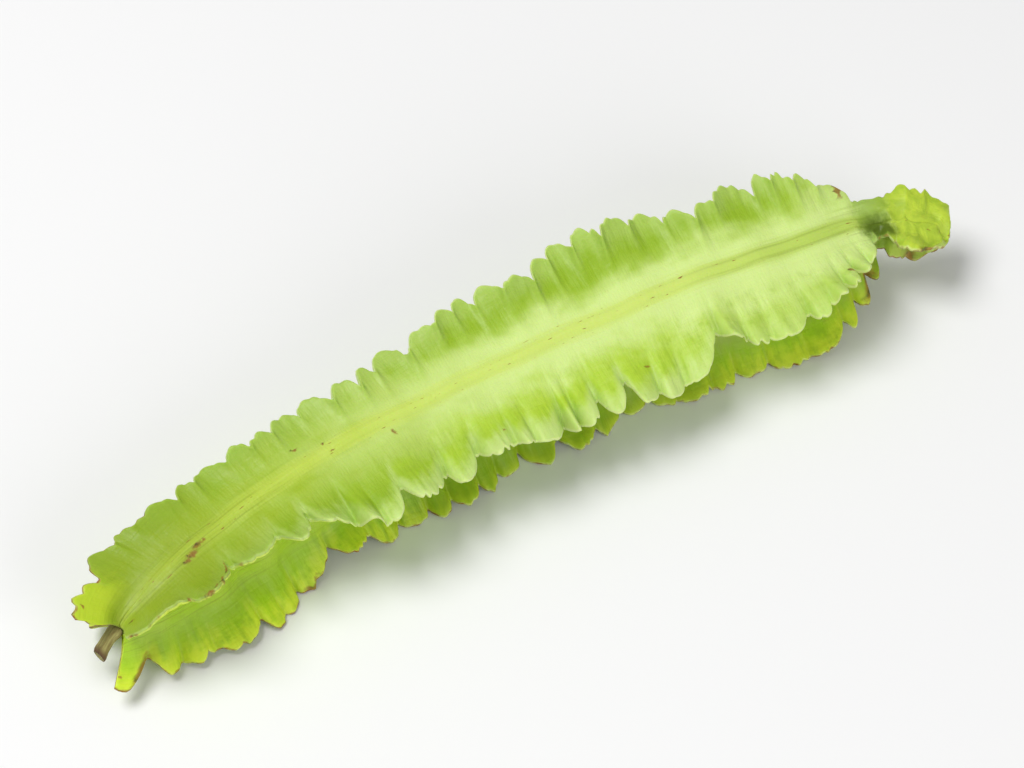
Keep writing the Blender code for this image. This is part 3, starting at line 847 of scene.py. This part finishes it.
def pod_material():
    s = Shader("pod_skin")
    x, across, edge, face = (s.attribute(name) for name in ("along", "across", "edge", "face"))
    away = s.math("ABSOLUTE", across)
    place = s.vector(x, across, s.times(face, LAYER))
    warp = s.noise(s.scaled(place, (0.9, 0.9, 1)), 3, 0.6)
    clouds = s.noise(s.scaled(place, (0.13, 0.2, 1)), 2)
    patches = s.noise(s.scaled(place, (0.55, 0.4, 1)), 3, 0.6)
    streaks = s.noise(s.scaled(place, (0.95, 0.13, 1)), 2, 0.45)
    fibres = s.noise(s.scaled(place, (0.08, 2.0, 1)), 2, 0.5)
    veins = s.plus(streaks, s.times(warp, 0.35))

    colour = upper_colour(s, x, across, away, edge, clouds, patches, warp, veins)
    under = lower_colour(s, x, away, edge, face, patches, fibres, veins)
    colour = s.mix(s.ramp(face, 0.4, 0.6), colour, under)
    # Painted shade: deep green darkens the creases that run in from the notches
    colour = s.mix(s.times(s.attribute("crease"), 0.45), colour, DEEP)
    # A pale rim along the edges: partly the rim's own paler colour, partly painted light showing through the
    # thin edge
    colour = s.mix(s.times(s.ramp(edge, 0.6, 0.15, 0, 0.5), s.ramp(x, 14, 50, 0.4, 1)), colour, RIM_COLOUR)
    colour = seam_colour(s, colour, x, away, face, fibres, place)
    colour = neck_colour(s, colour, x, across, face, warp)
    colour = brown_colour(s, colour, x, across, edge, place, warp)
    s.put(s.surface.inputs["Base Color"], colour)

    fine = s.noise(s.scaled(place, (2.2, 1.2, 1)), 1, 0.5)
    relief = s.plus(s.times(streaks, s.ramp(away, 2, 8, 0.3, 1.2)), s.times(fibres, 0.4), s.times(fine, 0.28))
    s.put(s.surface.inputs["Normal"], s.bump(relief, 0.55, 0.4 * MM))
    s.put(s.surface.inputs["Roughness"], s.ramp(patches, -0.2, 0.2, 0.40, 0.56))
    s.surface.inputs["Subsurface Weight"].default_value = 0.3
    s.surface.inputs["Subsurface Radius"].default_value = (0.7, 1.0, 0.25)
    s.surface.inputs["Subsurface Scale"].default_value = 1.5 * MM
    s.surface.inputs["Specular IOR Level"].default_value = 0.27
    s.surface.inputs["Coat Weight"].default_value = 0.04
    s.surface.inputs["Coat Roughness"].default_value = 0.35
    return s.material


def upper_colour(s, x, across, away, edge, clouds, patches, warp, veins):
    """The top face: pale by the seam, green towards the wings, frosted again near their edges."""
    by_stalk = s.ramp(s.plus(x, s.times(clouds, 50)), 84, 22)
    by_beak = s.times(s.ramp(x, 96, 128), s.ramp(across, 2, -2))
    spread = s.plus(away, s.times(clouds, 12), s.times(patches, 3))
    spread = s.plus(spread, s.times(veins, 1.4), s.times(by_beak, -1.4))
    pale = s.mix(by_stalk, PALE, PALE_BY_STALK)
    green = s.mix(s.times(by_stalk, 0.9), s.mix(s.times(by_beak, 0.4), GREEN, FROST), GREEN_BY_STALK)
    colour = s.mix(s.ramp(spread, 2.4, 11.2), pale, green)
    colour = s.mix(s.times(s.ramp(veins, 0.0, 0.3), s.ramp(away, 6, 11, 0, 0.3)), colour, DEEP)
    colour = s.mix(s.times(s.ramp(patches, 0.0, 0.28), s.ramp(away, 3, 9, 0, 0.36)), colour, DEEP)
    # Painted shade: the rear side of the top face and the rear top wing darkened towards deep green, less
    # near the beak
    rear = s.ramp(s.plus(across, s.times(clouds, 8)), 2.4, 10.4, 0, 0.92)
    rear = s.times(rear, s.ramp(x, 144, 132, 0.3, 1))
    colour = s.mix(rear, colour, DEEP)
    lobe = s.plus(edge, s.times(veins, 3.5), s.times(patches, 4), s.times(s.attribute("tone"), 1.2))
    frosted = s.times(s.ramp(lobe, 6.2, 0.8, 0, 0.92), s.ramp(x, 14, 56, 0.25, 1))
    frosted = s.times(frosted, s.ramp(across, 1, 5, 1, 0.42), s.ramp(by_beak, 0, 1, 1, 0.4))
    colour = s.mix(frosted, colour, FROST)
    # Painted shade: the end by the stalk darkened towards olive
    colour = s.mix(s.ramp(s.plus(x, s.times(clouds, 24)), 36, 10, 0, 0.5), colour, OLIVE_SHADE_AND_FIBRE)
    first_lobe = s.times(s.ramp(s.plus(x, s.times(warp, 3)), 7.5, 3.5), s.ramp(across, 2, 5, 0, 0.6))
    colour = s.mix(first_lobe, colour, LOWER_MARGIN)
    # Lit and shaded copies of the beak's green, in patches: painted light and shade
    beak = s.mix(s.ramp(patches, -0.2, 0.2), BEAK_LIT, BEAK_SHADE)
    return s.mix(s.ramp(x, 148, 153, 0, 0.9), colour, beak)


def lower_colour(s, x, away, edge, face, patches, fibres, veins):
    """The other faces: a deeper green with a yellower margin, and olive along the middle of the sides."""
    margin = s.ramp(s.plus(edge, s.times(veins, 4), s.times(patches, 5)), 5.4, 0.8)
    colour = s.mix(margin, LOWER, LOWER_MARGIN)
    # The middle stretch of the lower wings darker: partly their own deeper green, partly painted shadow of
    # the top wing over them
    halfway_green_and_shadow = s.times(s.ramp(s.plus(x, s.times(veins, 20)), 42, 62), s.ramp(x, 124, 104))
    halfway_green_and_shadow = s.times(halfway_green_and_shadow, s.ramp(edge, 0.3, 2.4, 0.3, 0.65))
    colour = s.mix(halfway_green_and_shadow, colour, LOWER_GREEN_AND_SHADE)
    colour = s.mix(s.ramp(veins, 0.0, 0.26, 0, 0.4), colour, DEEP)
    colour = s.mix(s.ramp(patches, -0.02, 0.24, 0, 0.4), colour, DEEP)
    middle = s.times(s.ramp(s.plus(away, s.times(patches, 6)), 9.5, 3.5), s.ramp(x, 70, 125, 0.35, 0.85))
    colour = s.mix(middle, colour, OLIVE)
    over_seed = s.ramp(s.math("COSINE", s.times(x, 2 * math.pi / SEED_SPACING)), 0.3, -0.9)
    on_side = s.ramp(s.math("PINGPONG", face, 1.0), 0.6, 0.9)
    colour = s.mix(s.times(over_seed, on_side, s.ramp(away, 4.4, 1.2, 0, 0.5)), colour, SEED_GREEN)
    return s.mix(s.times(s.ramp(fibres, 0.0, 0.2), s.ramp(away, 7, 2, 0, 0.3)), colour, OLIVE_SHADE_AND_FIBRE)


def neck_colour(s, colour, x, across, face, warp):
    """The narrow neck before the beak: painted shade, olive all round and dark in the hollow in front of its
    top ridge.
    """
    band = s.ramp(s.math("ABSOLUTE", s.plus(x, s.times(warp, 3), -149.4)), 4.2, 1.0)
    colour = s.mix(s.times(band, 0.6), colour, LOWER_GREEN_AND_SHADE)
    place = s.vector(
        s.plus(x, s.times(warp, 2.4)), s.plus(across, s.times(warp, 2.0)), s.times(face, LAYER)
    )
    # Painted shade in the hollow in front of the neck's ridge
    near = s.spot(place, (149.4, -1.2, 0), 3.2, 2.6)
    far = s.spot(place, (151.4, -2.4, 0), 2.4, 1.8)
    return s.mix(s.times(s.math("MAXIMUM", near, far), 0.9), colour, NECK_HOLLOW_SHADE)


def seam_colour(s, colour, x, away, face, fibres, place):
    """The seam's yellow band with painted shade in the grooves beside it, and fibre lines near the stalk and
    the beak.
    """
    on_seam = s.ramp(s.math("PINGPONG", face, 1.0), 0.4, 0.1)
    band = s.times(on_seam, s.ramp(s.plus(away, s.times(fibres, 2.0)), 2.6, 0.6), s.ramp(x, 151, 146))
    yellow = s.mix(s.ramp(x, 104, 138), SEAM_YELLOW, SEAM_BY_BEAK)
    colour = s.mix(s.times(band, s.ramp(x, 12, 44, 0.3, 0.6)), colour, yellow)
    # Painted shade of the grooves beside the seam: olive lines, stronger towards the beak and the stalk
    line = s.times(s.ramp(away, 0.45, 0.95), s.ramp(away, 1.7, 1.15), s.ramp(fibres, -0.12, 0.1))
    body = s.ramp(x, 151, 147)
    line = s.times(line, on_seam, s.plus(s.ramp(x, 105, 132, 0.05, 0.4), s.ramp(x, 40, 12, 0, 0.35)), body)
    colour = s.mix(line, colour, OLIVE_SHADE_AND_FIBRE)
    ends = s.plus(s.ramp(x, 46, 10), s.times(s.ramp(x, 138, 147), body, 0.7))
    lines = s.times(s.ramp(fibres, 0.04, 0.16), s.ramp(away, 5.5, 1.0), ends)
    colour = s.mix(s.times(lines, 0.55), colour, OLIVE_SHADE_AND_FIBRE)
    dashes = s.noise(s.scaled(place, (0.5, 2.6, 1), (3, 7, 0)), 2, 0.5)
    return s.mix(s.times(s.ramp(dashes, 0.17, 0.24), on_seam, s.ramp(away, 2.2, 1.4)), colour, RUST)


def brown_colour(s, colour, x, across, edge, place, warp):
    """Dried rims, stains, nicks and specks."""
    ragged = s.times(warp, 2.2)
    moved = s.plus(x, ragged)
    face, wing = s.attribute("face"), s.attribute("wing")
    on_face = s.vector(moved, s.plus(across, s.times(ragged, -0.8)), s.times(face, LAYER))
    by_edge = s.vector(moved, s.plus(edge, s.times(ragged, 0.7)), s.times(wing, LAYER))
    marks = s.math("MAXIMUM", s.spots(on_face, FACE_MARKS), s.spots(by_edge, EDGE_MARKS))
    specks = s.noise(s.scaled(place, (0.9, 0.9, 1), (11, 5, 0)), 1, 0.4)
    marks = s.math("MAXIMUM", marks, s.ramp(specks, 0.325, 0.35))
    rim = s.noise(s.vector(s.times(x, 0.55), s.times(edge, 0.5), s.times(wing, 9.0)), 3, 0.6)
    rim = s.ramp(s.plus(rim, s.times(s.attribute("dry"), 0.38)), 0.13, 0.34)
    rim = s.times(rim, s.ramp(s.plus(edge, s.times(warp, 1.0)), 0.55, 0.12))
    brown = s.mix(s.ramp(warp, -0.02, 0.16), RUST, DARK)
    return s.mix(s.math("MAXIMUM", s.times(marks, 0.85), rim), colour, brown)


def stalk_material():
    s = Shader("stalk_skin")
    x, turn = s.attribute("along"), s.attribute("across")
    fibres = s.noise(s.vector(s.times(x, 0.3), s.times(turn, 2.2)), 4, 0.65)
    colour = s.mix(s.ramp(fibres, -0.2, 0.2), srgb(172, 166, 98), srgb(128, 112, 56))
    colour = s.mix(s.ramp(x, 3.6, 4.8), colour, srgb(98, 70, 40))
    s.put(s.surface.inputs["Base Color"], colour)
    s.put(s.surface.inputs["Normal"], s.bump(fibres, 0.7, 0.3 * MM))
    s.surface.inputs["Roughness"].default_value = 0.75
    return s.material


def make_pod():
    skin = pod_skin(stations())
    mesh = closed_mesh("pod_skin", skin.points - ORIGIN)
    for name in ("along", "across", "edge", "face", "wing", "dry", "crease", "tone"):
        add_attribute(mesh, name, getattr(skin, name))
    pod = add_object("pod_skin", mesh, pod_material())
    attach(pod, "root")
    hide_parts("pod")


def make_stalk():
    centre, forward, upward, rearward = (v[0] for v in axis_frames(np.zeros(1)))
    turn = np.linspace(0, 2 * math.pi, STALK_SIDES, endpoint=False)
    distances = np.linspace(STALK_RADII[0][0], STALK_RADII[-1][0], STALK_RINGS)[::-1]
    rings = []
    for distance in distances:
        fibres = noise(turn * STALK_SIDES / (2 * math.pi) / 2.5, distance * 0.3, STALK_SEED)
        radius = float(along(distance, STALK_RADII)) * (1 + STALK_GRAIN * fibres)
        middle = centre - distance * forward - STALK_DROOP * (distance / STALK_LENGTH) ** 2 * upward
        circle = np.cos(turn)[:, None] * upward + np.sin(turn)[:, None] * rearward
        rings.append(middle + radius[:, None] * circle)
    mesh = closed_mesh("stalk_skin", np.array(rings) - ORIGIN)
    shape = (STALK_RINGS, STALK_SIDES)
    add_attribute(mesh, "along", np.broadcast_to(distances[:, None], shape))
    add_attribute(mesh, "across", np.broadcast_to(turn[None], shape))
    stalk = add_object("stalk_skin", mesh, stalk_material())
    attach(stalk, "root")
    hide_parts("stalk_stub")


def make_floor():
    half = FLOOR_SIDE / 2
    mesh = bpy.data.meshes.new("floor")
    corners = [(-half, -half, 0), (half, -half, 0), (half, half, 0), (-half, half, 0)]
    mesh.from_pydata(corners, [], [(0, 1, 2, 3)])
    s = Shader("floor_paper")
    s.surface.inputs["Base Color"].default_value = (0.9, 0.9, 0.9, 1.0)
    s.surface.inputs["Roughness"].default_value = 0.9
    floor = add_object("floor", mesh, s.material)
    floor.location.z = -FLOOR_GAP
    floor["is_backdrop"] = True


def add_light(name, place, size, power):
    light = bpy.data.lights.new(name, "AREA")
    light.shape = "DISK"
    light.size = size
    light.energy = power
    made = bpy.data.objects.new(name, light)
    made.location = place
    made.rotation_mode = "QUATERNION"
    made.rotation_quaternion = (-Vector(place)).to_track_quat("-Z", "Y")
    bpy.context.scene.collection.objects.link(made)


def make_lights():
    for light in LIGHTS:
        add_light(*light)
    world = bpy.data.worlds.new("studio")
    world.use_nodes = True
    sky = world.node_tree.nodes["Background"]
    sky.inputs["Color"].default_value = (1.0, 1.0, 1.0, 1.0)
    sky.inputs["Strength"].default_value = SKY_STRENGTH
    bpy.context.scene.world = world
    bpy.context.scene.view_settings.view_transform = "Standard"


def make_camera():
    azimuth, elevation = math.radians(AZIMUTH), math.radians(ELEVATION)
    level = math.cos(elevation)
    back = Vector((math.sin(azimuth) * level, -math.cos(azimuth) * level, math.sin(elevation)))
    low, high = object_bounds()
    camera = bpy.data.cameras.new("camera")
    camera.lens = LENS
    made = bpy.data.objects.new("camera", camera)
    made.location = (low + high) / 2 + back * DISTANCE
    made.rotation_mode = "QUATERNION"
    made.rotation_quaternion = (-back).to_track_quat("-Z", "Y")
    bpy.context.scene.collection.objects.link(made)
    bpy.context.scene.camera = made


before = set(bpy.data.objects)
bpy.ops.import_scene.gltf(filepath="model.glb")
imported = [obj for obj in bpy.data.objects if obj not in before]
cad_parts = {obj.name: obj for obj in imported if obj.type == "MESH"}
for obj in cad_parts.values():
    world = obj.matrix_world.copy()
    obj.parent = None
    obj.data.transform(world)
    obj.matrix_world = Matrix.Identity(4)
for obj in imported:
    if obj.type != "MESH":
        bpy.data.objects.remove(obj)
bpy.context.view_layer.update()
make_pod()
make_stalk()
make_floor()
make_lights()
make_camera()
